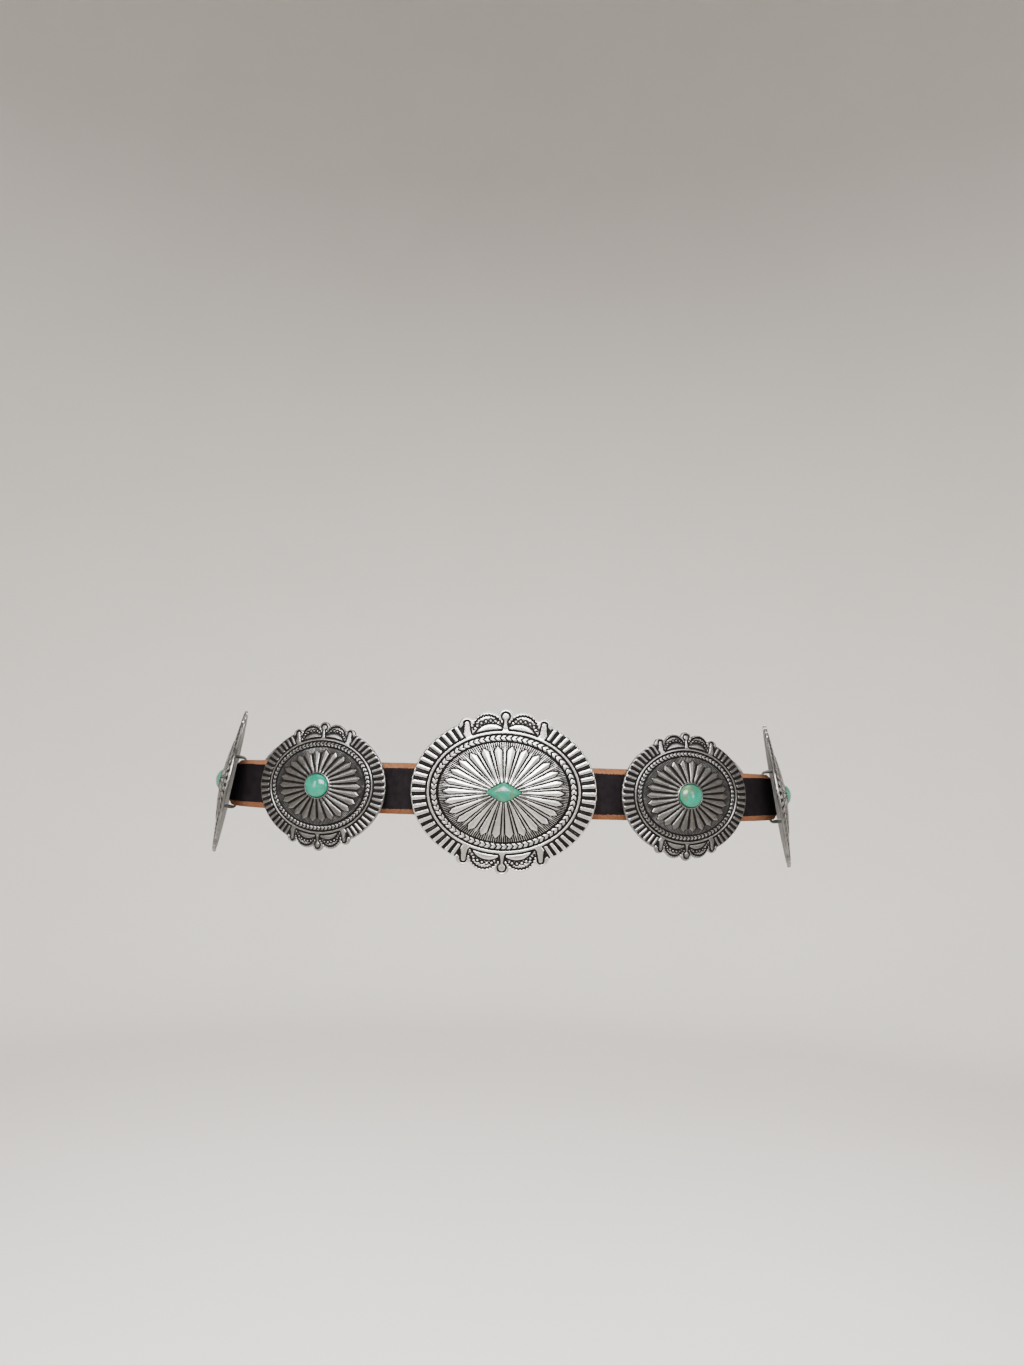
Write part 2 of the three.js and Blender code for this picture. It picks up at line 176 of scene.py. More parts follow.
def clamp(value, low=0.0, high=1.0):
    """The value, held between low and high."""
    return np.minimum(np.maximum(value, low), high)


def smoothstep(low, high, value):
    """0 below low, 1 above high and a smooth cubic between them."""
    share = clamp((value - low) / (high - low))
    return share * share * (3 - 2 * share)


def lerp(a, b, share):
    """The way from a to b, by its share."""
    return a + (b - a) * share


# The waist loop

def waist_samples(strap, count=6000):
    """Points of (x / a)^n + (y / b)^n = 1 from the front round by +X, and the distance along them."""
    turn = np.linspace(0, 2 * pi, count + 1)
    x, y = np.sin(turn), -np.cos(turn)
    a, b, n = strap.waist_half_width, strap.waist_half_depth, strap.waist_squareness
    size = (np.abs(x / a) ** n + np.abs(y / b) ** n) ** (-1 / n)
    points = np.stack((x * size, y * size), axis=1)
    steps = np.linalg.norm(np.diff(points, axis=0), axis=1)
    return points, np.concatenate(([0.0], np.cumsum(steps)))


def waist_length(strap):
    """The whole way round the waist loop."""
    return waist_samples(strap)[1][-1]


def stations(strap, distance, offset=0.0):
    """For distances along the waist: places and the directions along, up and out of the strap's face.

    Out is the curve's normal, leant upwards by a cant that grows from the front to the sides with the
    square of x.
    """
    points, lengths = waist_samples(strap)
    where = np.mod(distance, lengths[-1])
    x, y = np.interp(where, lengths, points[:, 0]), np.interp(where, lengths, points[:, 1])
    a, b, n = strap.waist_half_width, strap.waist_half_depth, strap.waist_squareness - 1
    normal = np.stack((np.sign(x) * np.abs(x / a) ** n / a, np.sign(y) * np.abs(y / b) ** n / b), axis=-1)
    normal /= np.linalg.norm(normal, axis=-1, keepdims=True)
    cant = lerp(strap.front_cant, strap.side_cant, (x / a) ** 2)
    flat = np.zeros_like(x)
    along = np.stack((-normal[..., 1], normal[..., 0], flat), axis=-1)
    out = np.stack((normal[..., 0] * np.cos(cant), normal[..., 1] * np.cos(cant), np.sin(cant)), axis=-1)
    up = np.cross(out, along)
    place = np.stack((x, y, flat), axis=-1) + out * np.asarray(offset)[..., None]
    return place, along, up, out


def placed(points, station):
    """Points given along, up and out of the strap, carried to their station."""
    place, along, up, out = station
    return place + points[..., :1] * along + points[..., 1:2] * up + points[..., 2:] * out


# Meshes from grids

def around(count):
    """Points of the unit circle at equal turns."""
    turn = np.arange(count) * (2 * pi / count)
    return np.stack((np.cos(turn), np.sin(turn)), axis=-1)


def turned_profile(radius, height, columns):
    """A profile of radii and heights turned round the z axis."""
    flat = radius[:, None, None] * around(columns)
    return np.dstack((flat, np.repeat(height[:, None], columns, axis=1)))


def grid_faces(rows, columns, first=0):
    """Quads of a grid that closes on itself across its columns. Each looks outwards where rows lead away
    from a pole and columns turn anticlockwise round it."""
    i, j = np.meshgrid(np.arange(rows - 1), np.arange(columns), indexing="ij")
    k = (j + 1) % columns
    here, after = i * columns, (i + 1) * columns
    return np.stack((here + j, after + j, after + k, here + k), axis=-1).reshape(-1, 4) + first


def fan_faces(pole, row_first, columns, at_start):
    """Triangles from a pole to a row."""
    j = np.arange(columns)
    k = (j + 1) % columns
    a, b = (j, k) if at_start else (k, j)
    return np.stack((np.full(columns, pole), row_first + a, row_first + b), axis=-1)


class Skin:
    """Points, faces and per-point attributes of one piece, gathered from closed grids."""

    def __init__(self, attributes):
        self.points = []
        self.quads = []
        self.triangles = []
        self.attributes = {name: [] for name in attributes}
        self.count = 0

    def add(self, grid, start, end, **attributes):
        """Adds a grid of rows by columns of points, with a pole before its first row and after its last."""
        rows, columns = grid.shape[:2]
        points = np.concatenate((grid.reshape(-1, 3), [start], [end]))
        pole = self.count + rows * columns
        quads = grid_faces(rows, columns, self.count)
        first = fan_faces(pole, self.count, columns, True)
        last = fan_faces(pole + 1, self.count + (rows - 1) * columns, columns, False)
        triangles = np.concatenate((first, last))
        if enclosed_volume(points, quads - self.count, triangles - self.count) < 0:
            quads, triangles = quads[:, ::-1], triangles[:, ::-1]
        self.points.append(points)
        self.quads.append(quads)
        self.triangles.append(triangles)
        for name, values in self.attributes.items():
            given = np.broadcast_to(attributes.get(name, 0.0), (rows, columns)).ravel()
            values.append(np.concatenate((given, given[:1], given[-1:])))
        self.count += len(points)

    def build(self, name, material):
        """The mesh object with these points and faces, shaded smooth."""
        points = np.concatenate(self.points)
        quads, triangles = np.concatenate(self.quads), np.concatenate(self.triangles)
        corners = np.concatenate((quads.ravel(), triangles.ravel())).astype(np.int32)
        starts = np.concatenate((np.arange(len(quads)) * 4, len(quads) * 4 + np.arange(len(triangles)) * 3))
        mesh = bpy.data.meshes.new(name)
        mesh.vertices.add(len(points))
        mesh.vertices.foreach_set("co", points.astype(np.float32).ravel())
        mesh.loops.add(len(corners))
        mesh.loops.foreach_set("vertex_index", corners)
        mesh.polygons.add(len(starts))
        mesh.polygons.foreach_set("loop_start", starts.astype(np.int32))
        mesh.polygons.foreach_set("use_smooth", np.ones(len(starts), dtype=bool))
        mesh.update(calc_edges=True)
        for attribute, values in self.attributes.items():
            data = mesh.attributes.new(attribute, "FLOAT", "POINT").data
            data.foreach_set("value", np.concatenate(values).astype(np.float32))
        mesh.materials.append(material)
        if mesh.validate():
            raise RuntimeError(f"{name}: its mesh has faces that don't hold")
        piece = bpy.data.objects.new(name, mesh)
        bpy.context.scene.collection.objects.link(piece)
        return piece


def enclosed_volume(points, quads, triangles):
    """The sum of the signed tetrahedra from the middle to each face."""
    centred = points - points.mean(axis=0)
    faces = np.concatenate((quads[:, [0, 1, 2]], quads[:, [0, 2, 3]], triangles))
    a, b, c = (centred[faces[:, k]] for k in range(3))
    return float(np.einsum("ij,ij->", a, np.cross(b, c))) / 6


def keep(piece, node):
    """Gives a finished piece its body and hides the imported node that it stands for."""
    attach(piece, BODY)
    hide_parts(node)


# The castings

def rim_of(size):
    """Half sizes of the rim's ellipse, under the lobes that stand over it."""
    return np.array((size["width"] / 2, size["height"] / 2 / (1 + LOBE_PEAK)))


def equal_power_outline(turn, half_width, half_height, power):
    """Points of (x / a)^p + (y / b)^p = 1 in the directions of the turns."""
    c, s = np.cos(turn), np.sin(turn)
    reach = (np.abs(c) ** power + np.abs(s) ** power) ** (-1 / power)
    return np.stack((c * reach * half_width, s * reach * half_height), axis=-1)


def outline_reach(start, step):
    """How many steps from the start, a point of the ring, reach the drawn outline: one for the rim's
    ellipse, or more where a circle of the keyhole, lobes or fingers stands over it."""
    start = np.abs(start)
    step = np.abs(step)
    reach = np.ones(start.shape[:-1])
    a = (step * step).sum(axis=-1)
    for part in (KEYHOLE, LOBE, FINGER):
        from_centre = start - np.array((part["x"], part["y"]))
        b = (from_centre * step).sum(axis=-1)
        c = (from_centre * from_centre).sum(axis=-1) - part["radius"] ** 2
        inside = b * b - a * c
        far = (-b + np.sqrt(np.maximum(inside, 0))) / a
        reach = np.maximum(reach, np.where(inside > 0, far, 0))
    return reach


def inside_by(x, y, part):
    """How far a drawn point lies inside a circle."""
    return part["radius"] - np.hypot(x - part["x"], y - part["y"])


def raised(bright):
    """Relief of what stands up, from the distance into it: an edge 0.4 mm wide."""
    return smoothstep(-0.2, 0.2, bright)


def petal_field(turn, rho, pitch, span, size):
    """Relief and bright distance of the petals, the ribs between them and the fine rays past their tips.

    rho is 0 at the petals' roots and 1 at their tips, pitch is the millimetres from petal to petal and
    span those from root to tip. A petal is a lance: its half width grows in a straight line to a
    shoulder and falls to nothing at the tip, and its top is a soft roof. Where the casting isn't ribbed,
    the rib is a thin one and starts with the rays.
    """
    place = turn * PETALS / (2 * pi)
    across = np.abs(place - np.round(place))
    shoulder_half = size["petal_shoulder"]
    grows = lerp(size["petal_root"], shoulder_half, clamp(rho / PETAL_SHOULDER))
    half = np.where(rho < PETAL_SHOULDER, grows, shoulder_half * (1 - rho) / (1 - PETAL_SHOULDER))
    petal = (half - across) * pitch
    past_start = (rho - RAYS_START) * span
    if size["ribbed"]:
        rib = (lerp(0.09, 0.04, smoothstep(0.86, 1.0, rho)) - (0.5 - across)) * pitch
    else:
        rib = np.minimum((0.02 - (0.5 - across)) * pitch, past_start)
    phase = RAYS_PER_PETAL * (0.5 - across)
    ray = (size["ray"] - np.abs(phase - np.round(phase))) * pitch / RAYS_PER_PETAL
    ray = np.minimum(ray, np.minimum(past_start, -petal - 0.3))
    roof = 1 - 0.42 * clamp(across / np.maximum(half, 0.04)) ** 1.3
    grown = lerp(0.35, 1.0, smoothstep(FIELD_START, 0.5, rho))
    height = np.maximum.reduce((raised(petal) * roof, 0.55 * raised(rib), 0.55 * raised(ray)))
    return height * grown, np.maximum.reduce((petal, rib, ray))


def braid(place, across, pitch, half_width):
    """Relief and bright distance of the chevrons, each a pair of leaves that meet at the band's middle.

    across is -1 and 1 at the band's borders. A leaf falls off towards the next one, and a shallow vein
    runs along the middle of the band.
    """
    lean = place + 0.5 * np.abs(across)
    phase = lean - np.floor(lean)
    leaf = np.minimum(phase, 1 - phase) * pitch * 0.8 - CHEVRON_LINE
    bright = np.minimum(leaf, (0.93 - np.abs(across)) * half_width)
    vein = 1 - 0.25 * (1 - smoothstep(0.05, 0.25, np.abs(across)))
    arch = np.sqrt(1 - 0.6 * across ** 2)
    return 0.95 * raised(bright) * vein * arch * (1.0 - 0.3 * phase), bright


def bars(angle, gap, pitch, in_from_edge):
    """Relief and bright distance of the bars, with a thin dim rib in each recess between two of them.

    gap is the distance out from the smooth ring, which bars and ribs don't reach.
    """
    place = angle / BAR_PITCH
    across = np.abs(place - np.round(place))
    bar = np.minimum((BAR_HALF - across) * pitch, gap - 0.7)
    rib = np.minimum((BAR_RIB_HALF - (0.5 - across)) * pitch, gap - 0.9)
    crown = 1 - 0.25 * clamp(across / BAR_HALF) ** 2
    end = 1 - 0.3 * smoothstep(1.6, 0.4, in_from_edge)
    height = np.maximum(raised(bar) * crown * end, 0.35 * raised(rib))
    return height, np.maximum(bar, rib - 0.08)


def lobes(x, y, ring_gap):
    """Relief and bright distance over the top and bottom, drawn once for one quarter.

    x and y are drawn millimetres from the middle, without sign, and ring_gap is the distance out from the
    smooth ring. All is bright metal but for black lines: round the keyhole with its stem, along the ring,
    over the crescent, a toothed one along the lobe, one round each bead and one round the finger's panel.
    The bare numbers are places and widths on the drawn face, and shares of the relief.
    """
    stem_half = 0.62 + 0.42 * smoothstep(33.6, 30.4, y) + 0.7 * smoothstep(30.6, 29.0, y)
    bulb = 1.7 - np.hypot(x, y - 36.2)
    keyhole = np.maximum(bulb, np.minimum(stem_half - x, 36.0 - y))
    keyhole_line = np.minimum(-keyhole, keyhole + KEYHOLE_LINE)

    axis = 18.6 - 0.3 * smoothstep(33.0, 28.0, y)
    panel_half = 1.05 + 0.25 * smoothstep(32.5, 30.5, y) + 0.3 * smoothstep(30.0, 28.3, y)
    panel_half += 1.1 * smoothstep(28.0, 26.4, y)
    finger = np.where(y > 32.4, 1.1 - np.hypot(x - 18.6, y - 32.4), panel_half - np.abs(x - axis))
    line_width = FINGER_LINE + 1.5 * smoothstep(31.6, 29.6, y) * (x > axis)
    finger_line = np.minimum(-finger, finger + line_width)

    ring_line = np.minimum.reduce((ring_gap, RING_LINE - ring_gap, -keyhole, -finger))
    crescent = inside_by(x, y, CRESCENT)
    crescent_line = CRESCENT_LINE_HALF + 0.15 * smoothstep(10.5, 14.0, x) - np.abs(crescent)
    crescent_line = np.minimum.reduce((crescent_line, x - 1.3, 15.7 - x))

    tooth_turn = np.arctan2(y - TOOTHED_LINE["y"], x - TOOTHED_LINE["x"]) * TEETH / (2 * pi)
    tooth = 4 * np.abs(tooth_turn - np.round(tooth_turn)) - 1
    toothed = inside_by(x, y, TOOTHED_LINE)
    toothed_line = TOOTHED_LINE_HALF - np.abs(toothed + TOOTH_HEIGHT * tooth)
    lowest = np.where(x < TOOTHED_LINE["x"], 31.9, 29.2)
    toothed_line = np.minimum(toothed_line, y - lowest)

    bead_turn = (np.arctan2(x - BEAD_ARC["x"], y - BEAD_ARC["y"]) - BEAD_SHIFT) / BEAD_STEP
    bead_place = clamp(np.round(bead_turn), FIRST_BEAD, LAST_BEAD) * BEAD_STEP + BEAD_SHIFT
    bead_x = BEAD_ARC["x"] + BEAD_ARC["radius"] * np.sin(bead_place)
    bead_y = BEAD_ARC["y"] + BEAD_ARC["radius"] * np.cos(bead_place)
    from_bead = np.hypot(x - bead_x, y - bead_y)
    bead_line = BEAD_LINE_HALF - np.abs(from_bead - BEAD_RADIUS)

    lines = (keyhole_line, finger_line, ring_line, crescent_line, toothed_line, bead_line)
    bright = -np.maximum.reduce(lines)
    between = smoothstep(-0.1, 0.2, toothed) * smoothstep(0.1, -0.1, crescent)
    level = 0.85 - 0.35 * between
    level = np.maximum(level, 0.95 * smoothstep(0.85, 0.1, from_bead))
    level = np.where(crescent > 0.05, 0.7 + 0.25 * smoothstep(0.0, 1.4, crescent), level)
    return level * raised(bright), bright


def ring_points(name, circle):
    """The named ring's ellipse at the circle's turns, in drawn millimetres."""
    ring = RINGS[name]
    return circle * np.array((ring["across"], ring["up"]))


def face_grid(size, stone, seat_gap):
    """The face of a casting from its stone's seat to its outline: points, recess and the outline.

    Rows lie on rings, each an ellipse or the outline itself, and columns run straight between the rings
    at equal parameters of their ellipses. Heights are the dome's own, in straight steps from ring to
    ring, with the relief of each zone on top. The recess is 0 in bright metal, 1 in the blackened
    grooves, and runs straight between them over a millimetre.
    """
    scale = size["width"] / 2 / DRAWN_RIM[0]
    columns = PETALS * size["columns"]
    turn = np.arange(columns) * (2 * pi / columns)
    circle = around(columns)
    seat_half = (np.array((stone["width"], stone["height"])) / 2 + seat_gap) / scale
    seat = equal_power_outline(turn, *seat_half, stone["corners"])
    root = circle * (seat_half + ROOT_MARGIN / scale)
    last = ring_points("ring outside", circle)
    step = circle * DRAWN_RIM - last
    outline = last + step * outline_reach(last, step)[:, None]

    braid_middle = (ring_points("braid inside", circle) + ring_points("braid outside", circle)) / 2
    braid_steps = np.linalg.norm(np.roll(braid_middle, -1, axis=0) - braid_middle, axis=-1)
    braid_place = np.concatenate(([0.0], np.cumsum(braid_steps)[:-1])) / braid_steps.sum() * CHEVRONS
    rim_middle = last + step * 0.5
    rim_angle = np.arctan2(np.abs(rim_middle[:, 1]), np.abs(rim_middle[:, 0]))[None]

    # Each zone's relief takes the share of the way across it, the millimetres from petal to petal, those
    # across the zone and the drawn points, and gives its relief and bright distance.
    def petals(low, high):
        def relief(share, pitch, span, points):
            return petal_field(turn[None], lerp(low, high, share), pitch, span / (high - low), size)
        return relief

    def petal_roots(share, pitch, span, points):
        height, bright = petals(FIELD_START, 0.0)(share, pitch, span, points)
        if size["ribbed"]:
            return height, bright
        bezel = BEZEL / 2 - np.abs(share * span - BEZEL / 2)
        bright = np.minimum(bright, share * span - BEZEL - BEZEL_GROOVE)
        return np.maximum(height * raised(bright), 0.6 * raised(bezel)), np.maximum(bright, bezel + 0.2)

    def groove(share, pitch, span, points):
        depth = np.minimum(share, 1 - share) * span
        return -0.5 * smoothstep(0, 0.4, depth), -depth

    def braided(share, pitch, span, points):
        return braid(braid_place[None], 2 * share - 1, braid_steps.sum() / CHEVRONS, span / 2)

    def smooth_ring(share, pitch, span, points):
        bright = np.minimum(share, 1 - share) * span + 0.05
        return 0.9 * smoothstep(-0.1, 0.3, bright), bright

    def rim(share, pitch, span, points):
        gap = share * span
        in_from_edge = (1 - share) * span
        bar_pitch = BAR_PITCH * np.linalg.norm(rim_middle, axis=-1)[None]
        bar = bars(rim_angle, gap, bar_pitch, in_from_edge)
        lobe = lobes(np.abs(points[..., 0]), np.abs(points[..., 1]), gap)
        over = (rim_angle > BAR_PITCH * BARS_PER_SIDE / 2) + 0.0 * share
        flange = np.where(over > 0.5, 0.25, 0.75) - in_from_edge
        height = np.maximum(lerp(bar[0], lobe[0], over), 0.3 * raised(flange))
        bright = np.maximum(lerp(bar[1], lobe[1], over), flange)
        return height * smoothstep(-0.1, 0.7, in_from_edge), bright

    rings = [seat, root] + [ring_points(name, circle) for name in RINGS] + [outline]
    lifts = [SEAT_LIFT, ROOT_LIFT] + [ring["lift"] for ring in RINGS.values()] + [OUTLINE_LIFT]
    reliefs = (
        petal_roots, petals(0.0, PETAL_SHOULDER), petals(PETAL_SHOULDER, 1.0), petals(1.0, FIELD_END),
        groove, braided, groove, smooth_ring, rim,
    )
    zones = []
    for k, (relief, rows) in enumerate(zip(reliefs, FACE_ROWS)):
        share = (np.arange(rows) / rows)[:, None]
        points = lerp(rings[k][None], rings[k + 1][None], share[..., None])
        pitch = np.linalg.norm(np.roll(points, -1, axis=1) - points, axis=-1) * size["columns"]
        span = np.linalg.norm(rings[k + 1] - rings[k], axis=-1)[None]
        height, bright = relief(share, pitch, span, points)
        z = size["rise"] * lerp(lifts[k], lifts[k + 1], share) + size["relief"] * height
        recess = clamp(0.5 - bright)
        shape = points.shape[:2]
        zones.append(np.dstack((points * scale, np.broadcast_to(z, shape), np.broadcast_to(recess, shape))))
    grid = np.concatenate(zones)
    return grid[..., :3], grid[..., 3], outline * scale


def dome_under(size, share, rim_back):
    """Heights of a casting's back: a dome of 1 - r^p of its hollow rise, r being a share of the outline."""
    return rim_back + (size["rise"] + size["edge"] - size["crown"]) * (1 - share ** BACK_POWER)


def casting_grid(size, stone, stones, rim_back):
    """The whole closed skin of a casting: its seat, its face, its edge and the hollow under its dome.

    Returns the grid, the middles of the seat and of the hollow, and each point's recess and whether it is
    on the unpolished back. The back follows the outline at its edge and the rim's ellipse further in.
    """
    rim_front = rim_back + size["edge"]
    face, recess, outline = face_grid(size, stone, stones.seat_gap / MM)
    columns = face.shape[1]
    face = face + np.array((0, 0, rim_front))
    seat = face[:1].copy()
    seat[..., 2] = rim_front + size["rise"] - stones.seat_depth / MM

    edge_rows = []
    for inset, drop in EDGE_ROWS:
        inwards = outline - outline / np.linalg.norm(outline, axis=-1, keepdims=True) * inset
        height = np.full((columns, 1), rim_front - drop * size["edge"] / EDGE_DRAWN)
        edge_rows.append(np.hstack((inwards, height)))
    edge = np.stack(edge_rows)

    shares = np.array(BACK_ROWS)[:, None]
    ellipse = around(columns) * rim_of(size)
    flat = lerp(outline[None], ellipse[None], smoothstep(0.97, 0.7, shares)[..., None]) * shares[..., None]
    back = np.dstack((flat, np.broadcast_to(dome_under(size, shares, rim_back), flat.shape[:2])))

    grid = np.concatenate((seat, face, edge, back))
    # The edge rows take the painted shade of the side wall.
    edge_painted_shade = np.repeat(np.array(EDGE_PAINTED_SHADE)[:, None], columns, axis=1)
    back_recess = np.full((len(back), columns), BACK_RECESS)
    recess = np.concatenate((np.ones((1, columns)), recess, edge_painted_shade, back_recess))
    cast = np.repeat(np.arange(len(grid))[:, None] >= len(grid) - len(back), columns, axis=1).astype(float)
    floor = np.array((0, 0, seat[0, 0, 2]))
    ceiling = np.array((0, 0, dome_under(size, 0.0, rim_back)))
    return grid, floor, ceiling, recess, cast


def strap_loop_grid(belt, castings, size, rim_back):
    """The cast loop behind a dome: a soft-cornered bar carried down one post, across and up the other.

    Its section is an outline of equal powers, wide along the strap and as thick as the post or the bar.
    """
    gap = castings.loop_gap / MM
    post, bar = castings.loop_post / MM, castings.loop_bar / MM
    half_span = belt.width / MM / 2 + gap + post / 2
    low = -belt.thickness / MM / 2 - gap - bar / 2
    into_dome = 0.6
    top = dome_under(size, half_span / rim_of(size)[1], rim_back) + into_dome
    bend = 1.7
    down = np.linspace(top, low + bend, 5)[:-1]
    angle = np.linspace(0, pi / 2, 8)
    left = np.stack((np.full_like(down, -half_span), down), axis=1)
    corner = np.stack((-half_span + bend * (1 - np.cos(angle)), low + bend * (1 - np.sin(angle))), axis=1)
    half_path = np.concatenate((left, corner))
    across = np.linspace(-half_span + bend, half_span - bend, 10)[1:-1]
    middle = np.stack((across, np.full_like(across, low)), axis=1)
    path = np.concatenate((half_path, middle, half_path[::-1] * np.array((-1, 1))))
    heading = np.gradient(path, axis=0)
    heading /= np.linalg.norm(heading, axis=1, keepdims=True)
    normal = np.stack((-heading[:, 1], heading[:, 0]), axis=1)
    thickness = lerp(bar, post, smoothstep(low, low + 2 * bend, path[:, 1]))
    section_turn = np.linspace(0, 2 * pi, 28, endpoint=False)
    section = equal_power_outline(section_turn, castings.loop_width / MM / 2, 0.5, 5)
    x = np.broadcast_to(section[None, :, 0], (len(path), len(section)))
    aside = section[None, :, 1:] * thickness[:, None, None] * normal[:, None, :]
    return np.dstack((x, path[:, None, :] + aside)), np.array((0, *path[0])), np.array((0, *path[-1]))


# The stones

def stone_grid(stone, seat_height, rows=18, columns=64):
    """A cabochon on an upright girdle. Inside a share r of its outline it stands up by (1 - r^c)^(1/c) of
    its height, and the outline itself grows rounder from the girdle to the top."""
    girdle_height = 0.7
    turn = np.arange(columns) * (2 * pi / columns)
    r = np.sin(np.linspace(0.06, pi / 2, rows))[:, None]
    power = lerp(2.0, stone["corners"], smoothstep(0.0, 0.9, r))
    c, s = np.abs(np.cos(turn))[None], np.abs(np.sin(turn))[None]
    reach = (c ** power + s ** power) ** (-1 / power)
    x = np.cos(turn) * reach * r * stone["width"] / 2
    y = np.sin(turn) * reach * r * stone["height"] / 2
    dome = np.maximum(1 - r ** stone["crown"], 0) ** (1 / stone["crown"])
    z = seat_height + girdle_height + stone["stand"] * (0.1 + 0.9 * dome)
    top = np.dstack((x, y, np.broadcast_to(z, x.shape)))
    girdle = top[-1:].copy()
    girdle[..., 2] = seat_height
    peak = np.array((0, 0, seat_height + girdle_height + stone["stand"]))
    return np.concatenate((top, girdle)), peak, np.array((0, 0, seat_height))


# The strap

def wander(distance, seed, scale):
    """A slow irregular wave between about -1 and 1: three sines whose lengths share no beat."""
    waves = ((1.0, 0.55, 0.0), (2.37, 0.3, 1.3), (5.13, 0.2, 4.1))
    return sum(size * np.sin(distance / scale * rate + seed * (shift + 1.7)) for rate, size, shift in waves)


def strap_rows(belt):
    """Distances of the sections, and each one's share of the full width: a quarter ellipse at the tips."""
    reach = (waist_length(belt) + belt.lap_length) / 2
    tip = belt.tip_length
    turn = np.linspace(radians(7), pi / 2, 12)
    start = -reach + tip * (1 - np.cos(turn))
    middle = np.linspace(-reach + tip, reach - tip, belt.sections)[1:-1]
    distance = np.concatenate((start, middle, -start[::-1]))
    share = np.concatenate((np.sin(turn), np.ones(len(middle)), np.sin(turn)[::-1]))
    return distance, share


def strap_sections(belt, distance, share):
    """Closed sections across the strap, each a flat back, two sides and two bevels under the black face.

    Each corner of the outline is rounded by a quadratic curve, and each straight between two corners is
    divided evenly. Returns the points as heights and depths, and how far each is on the cut edge and on
    the flesh side. The face's two borders wander a little, as a hand-cut bevel does.
    """
    half = belt.width / 2 * share
    face_half = np.maximum(half - belt.bevel_width, half / 2)
    back, front = -belt.thickness / 2, belt.thickness / 2
    low = np.full_like(half, back)
    uneven = 0.18 * MM
    upper, lower = uneven * wander(distance, 1.0, 0.006), uneven * wander(distance, 2.0, 0.005)
    bevel = np.full_like(half, front - belt.bevel_depth)
    top = np.full_like(half, front)
    corners = np.stack((
        np.stack((-half, low), axis=1),
        np.stack((-half, bevel), axis=1),
        np.stack((-face_half + lower, top), axis=1),
        np.stack((face_half + upper, top), axis=1),
        np.stack((half, bevel), axis=1),
        np.stack((half, low), axis=1),
    ), axis=1)
    pieces = []
    cut = []
    flesh = []
    # For each straight, from one side round over the face to the back: its divisions, and 1 on a cut edge.
    divisions = (3, 5, 16, 5, 3, 10)
    cut_of = (1, 1, 0, 1, 1, 0)
    radius = 0.35 * MM
    count = len(divisions)
    for k in range(count):
        here, after = corners[:, k], corners[:, (k + 1) % count]
        before = corners[:, k - 1]
        come = here - before
        come /= np.linalg.norm(come, axis=1, keepdims=True)
        go = after - here
        side = np.linalg.norm(go, axis=1, keepdims=True)
        go /= side
        bend = np.minimum(radius, side / 3)
        for share_round in (0.0, 0.25, 0.5, 0.75, 1.0):
            a, b = here - come * bend, here + go * bend
            point = lerp(lerp(a, here, share_round), lerp(here, b, share_round), share_round)
            pieces.append(point)
            cut.append(lerp(cut_of[k - 1], cut_of[k], share_round))
            flesh.append(lerp(float(k == 0), float(k == count - 1), share_round))
        for i in range(1, divisions[k]):
            pieces.append(lerp(here + go * bend, after - go * bend, i / divisions[k]))
            cut.append(float(cut_of[k]))
            flesh.append(float(k == count - 1))
    return np.stack(pieces, axis=1), np.array(cut), np.array(flesh)


def lap_offset(belt, distance):
    """How far the outer end stands out to lie over the inner one: a smooth step up the ramp."""
    lap_start = (waist_length(belt) - belt.lap_length) / 2
    return (belt.thickness + belt.lap_gap) * smoothstep(lap_start - belt.lap_ramp, lap_start, distance)


# Materials

class Nodes:
    """A new material's node tree, with short calls to add nodes and join them."""

    def __init__(self, name):
        self.material = bpy.data.materials.new(name)
        self.material.use_nodes = True
        self.tree = self.material.node_tree
        self.shader = self.tree.nodes["Principled BSDF"]

    def add(self, kind, inputs=None, **settings):
        node = self.tree.nodes.new(kind)
        for key, value in settings.items():
            setattr(node, key, value)
        for socket, value in (inputs or {}).items():
            self.feed(node.inputs[socket], value)
        return node

    def feed(self, socket, value):
        if isinstance(value, bpy.types.NodeSocket):
            self.tree.links.new(value, socket)
        else:
            socket.default_value = value

    def place(self):
        return self.add("ShaderNodeTexCoord").outputs["Object"]

    def attribute(self, name):
        return self.add("ShaderNodeAttribute", attribute_name=name).outputs["Fac"]

    def noise(self, scale, detail=4.0, roughness=0.55, where=None):
        inputs = {"Vector": where or self.place(), "Scale": scale, "Detail": detail, "Roughness": roughness}
        return self.add("ShaderNodeTexNoise", inputs).outputs["Fac"]

    def map(self, value, low, high, to_low=0.0, to_high=1.0):
        inputs = {"Value": value, "From Min": low, "From Max": high, "To Min": to_low, "To Max": to_high}
        return self.add("ShaderNodeMapRange", inputs, interpolation_type="SMOOTHSTEP").outputs["Result"]

    def math(self, operation, a, b):
        return self.add("ShaderNodeMath", {0: a, 1: b}, operation=operation, use_clamp=True).outputs[0]

    def mix(self, factor, a, b):
        node = self.add("ShaderNodeMix", data_type="RGBA")
        self.feed(node.inputs["Factor"], factor)
        self.feed(node.inputs["A"], a)
        self.feed(node.inputs["B"], b)
        return node.outputs["Result"]

    def bump(self, height, strength, distance, before=None):
        inputs = {"Height": height, "Strength": strength, "Distance": distance}
        if before:
            inputs["Normal"] = before
        return self.add("ShaderNodeBump", inputs).outputs["Normal"]

    def shade(self, **sockets):
        for name, value in sockets.items():
            self.feed(self.shader.inputs[name.replace("_", " ")], value)


def colour(value):
    """A colour with full alpha, as a node's socket wants it."""
    return (*value, 1.0)


